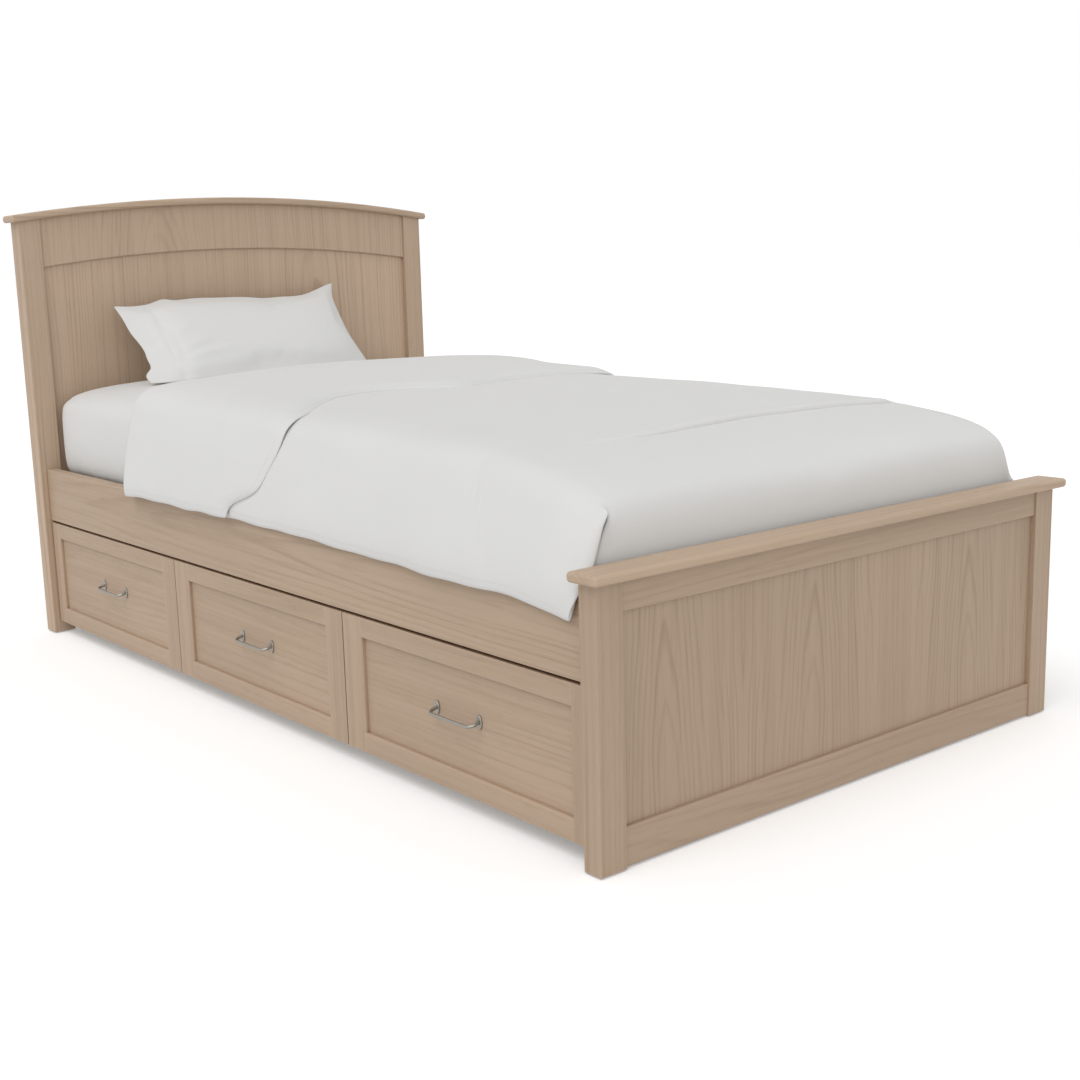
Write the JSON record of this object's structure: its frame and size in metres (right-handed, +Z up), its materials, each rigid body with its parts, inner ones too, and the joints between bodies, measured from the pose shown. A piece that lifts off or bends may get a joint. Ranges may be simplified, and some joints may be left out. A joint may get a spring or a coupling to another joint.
{
  "type": "storage bed",
  "caption": "Wooden single bed with an arched headboard, a panelled footboard and drawers on telescopic slides along its side, with mattress, duvet and pillow.",
  "frame": {"origin": "on the floor, under the middle of the bed's overall box", "axes": "+X across the bed and away from the drawers, +Y from the foot to the head, +Z up"},
  "size_m": [1.152, 2.0384, 1.0279],
  "materials": {
    "wood_upright": "satin, grain upright",
    "wood_lengthwise": "satin, grain along the bed",
    "wood_crosswise": "satin, grain across the bed",
    "drawer_board": "matt",
    "case_board": "matt",
    "slat_wood": "matt",
    "slide_steel": "zinc plated",
    "screw_steel": "zinc plated",
    "pull_nickel": "satin nickel",
    "glide_plastic": "matt",
    "mattress_cover": "matt",
    "duvet_cover": "matt",
    "pillow_case": "matt"
  },
  "bodies": {
    "bed_frame": {"case_partitions": "case_board", "duvet": "duvet_cover", "floor_glides": "glide_plastic", "foot_bottom_rail": "wood_crosswise", "foot_cap": "wood_crosswise", "foot_panel": "wood_upright", "foot_post_left": "wood_upright", "foot_post_right": "wood_upright", "foot_top_rail": "wood_crosswise", "head_arch_rail": "wood_upright", "head_bottom_rail": "wood_crosswise", "head_cap": "wood_crosswise", "head_panel": "wood_upright", "head_post_left": "wood_upright", "head_post_right": "wood_upright", "mattress": "mattress_cover", "pillow": "pillow_case", "rail_pins": "slide_steel", "rail_tongues": "slide_steel", "side_rail_left": "wood_lengthwise", "side_rail_right": "wood_lengthwise", "side_skirt_right": "wood_lengthwise", "slat_ledgers": "slat_wood", "slat_screws": "screw_steel", "slats": "slat_wood", "slide_outer": "slide_steel"},
    "drawer_1": {"drawer_1_box_bottom": "drawer_board", "drawer_1_box_ends": "drawer_board", "drawer_1_box_sides": "drawer_board", "drawer_1_front_panel": "wood_lengthwise", "drawer_1_front_rails": "wood_lengthwise", "drawer_1_front_stiles": "wood_upright", "drawer_1_pull_bar": "pull_nickel", "drawer_1_pull_plates": "pull_nickel", "drawer_1_pull_screws": "screw_steel", "drawer_1_slide_inner": "slide_steel"},
    "slide_1": {"drawer_1_slide_middle": "slide_steel"},
    "drawer_2": {"drawer_2_box_bottom": "drawer_board", "drawer_2_box_ends": "drawer_board", "drawer_2_box_sides": "drawer_board", "drawer_2_front_panel": "wood_lengthwise", "drawer_2_front_rails": "wood_lengthwise", "drawer_2_front_stiles": "wood_upright", "drawer_2_pull_bar": "pull_nickel", "drawer_2_pull_plates": "pull_nickel", "drawer_2_pull_screws": "screw_steel", "drawer_2_slide_inner": "slide_steel"},
    "slide_2": {"drawer_2_slide_middle": "slide_steel"},
    "drawer_3": {"drawer_3_box_bottom": "drawer_board", "drawer_3_box_ends": "drawer_board", "drawer_3_box_sides": "drawer_board", "drawer_3_front_panel": "wood_lengthwise", "drawer_3_front_rails": "wood_lengthwise", "drawer_3_front_stiles": "wood_upright", "drawer_3_pull_bar": "pull_nickel", "drawer_3_pull_plates": "pull_nickel", "drawer_3_pull_screws": "screw_steel", "drawer_3_slide_inner": "slide_steel"},
    "slide_3": {"drawer_3_slide_middle": "slide_steel"}
  },
  "joints": [
    {"name": "drawer_1_run", "type": "slide", "parent": "bed_frame", "child": "drawer_1", "axis": [-1, 0, 0], "range_m": [0, 0.45]},
    {"name": "slide_1_run", "type": "slide", "parent": "bed_frame", "child": "slide_1", "axis": [-1, 0, 0], "range_m": [0, 0.225]},
    {"name": "drawer_2_run", "type": "slide", "parent": "bed_frame", "child": "drawer_2", "axis": [-1, 0, 0], "range_m": [0, 0.45]},
    {"name": "slide_2_run", "type": "slide", "parent": "bed_frame", "child": "slide_2", "axis": [-1, 0, 0], "range_m": [0, 0.225]},
    {"name": "drawer_3_run", "type": "slide", "parent": "bed_frame", "child": "drawer_3", "axis": [-1, 0, 0], "range_m": [0, 0.45]},
    {"name": "slide_3_run", "type": "slide", "parent": "bed_frame", "child": "slide_3", "axis": [-1, 0, 0], "range_m": [0, 0.225]}
  ],
  "couplings": [
    {"joint": "slide_1_run", "follows": "drawer_1_run", "ratio": 0.5},
    {"joint": "slide_2_run", "follows": "drawer_2_run", "ratio": 0.5},
    {"joint": "slide_3_run", "follows": "drawer_3_run", "ratio": 0.5}
  ]
}
